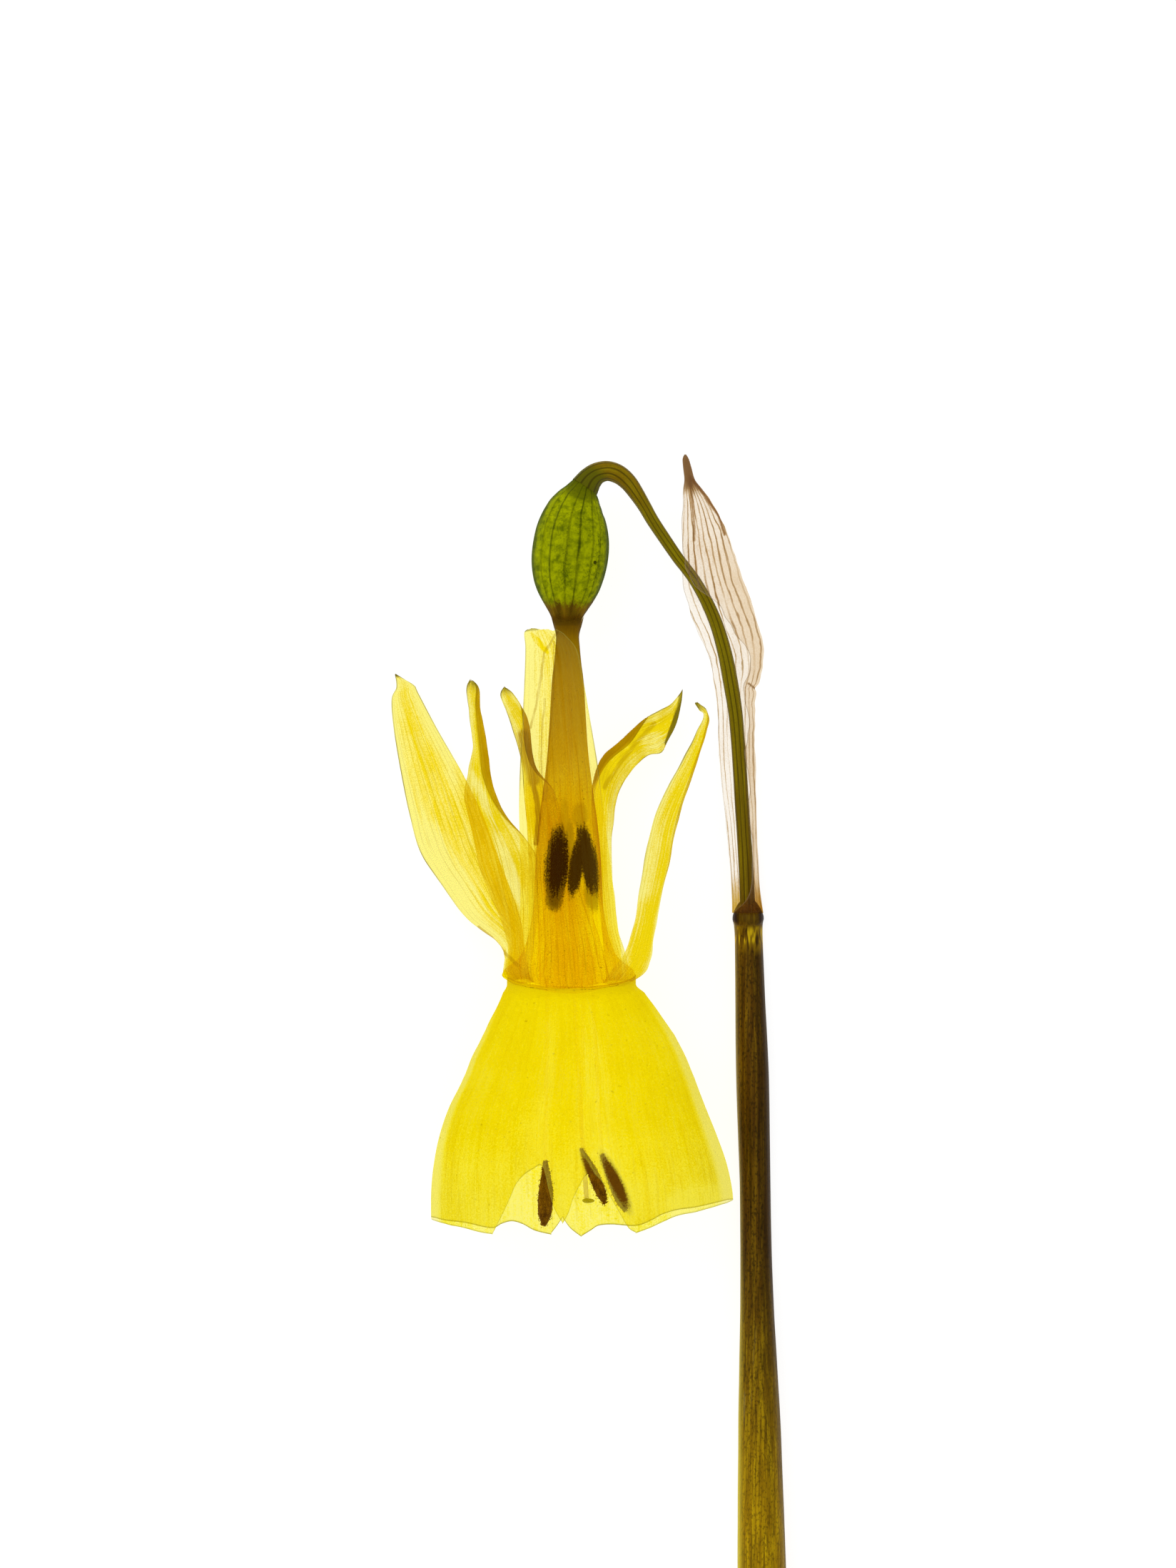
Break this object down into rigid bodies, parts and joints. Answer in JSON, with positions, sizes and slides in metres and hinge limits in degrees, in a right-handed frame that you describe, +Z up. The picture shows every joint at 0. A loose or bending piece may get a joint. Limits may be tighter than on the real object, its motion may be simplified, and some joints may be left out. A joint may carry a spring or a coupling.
{
  "type": "daffodil flower",
  "caption": "Nodding yellow daffodil flower lying on its cut stem: flared lobed corona, swept-back tepals, long tube, green ovary, papery spathe.",
  "frame": {"origin": "on the surface that the flower lies on, under the middle of its bounding box", "axes": "+Z up from the surface; +Y along the stem, from its cut end towards the ovary; +X across, from the flower to the stem"},
  "size_m": [0.0336, 0.1086, 0.0158],
  "materials": {
    "stem": "satin, olive brown with fine lengthwise streaks",
    "stalk": "satin olive green",
    "spathe": "dry, papery and translucent, pinkish white with brown veins",
    "ovary": "satin green with dark ribs",
    "tube": "golden orange, satin, translucent",
    "tepal": "yellow, satin, translucent, fine lengthwise veins",
    "corona": "bright yellow, satin, translucent, fine lengthwise veins",
    "filament": "pale yellow, satin",
    "anther": "matt brown",
    "style": "pale yellow, satin"
  },
  "bodies": {
    "root": {"stem": "stem", "flower_stalk": "stalk", "spathe": "spathe", "ovary": "ovary", "perianth_tube": "tube", "corona": "corona", "style": "style", "tepal_top": "tepal", "tepal_upper_left": "tepal", "tepal_lower_left": "tepal", "tepal_bottom": "tepal", "tepal_lower_right": "tepal", "tepal_upper_right": "tepal", "filament_long_left": "filament", "anther_long_left": "anther", "filament_long_middle": "filament", "anther_long_middle": "anther", "filament_long_right": "filament", "anther_long_right": "anther", "filament_short_left": "filament", "anther_short_left": "anther", "filament_short_middle": "filament", "anther_short_middle": "anther", "filament_short_right": "filament", "anther_short_right": "anther"}
  },
  "joints": []
}
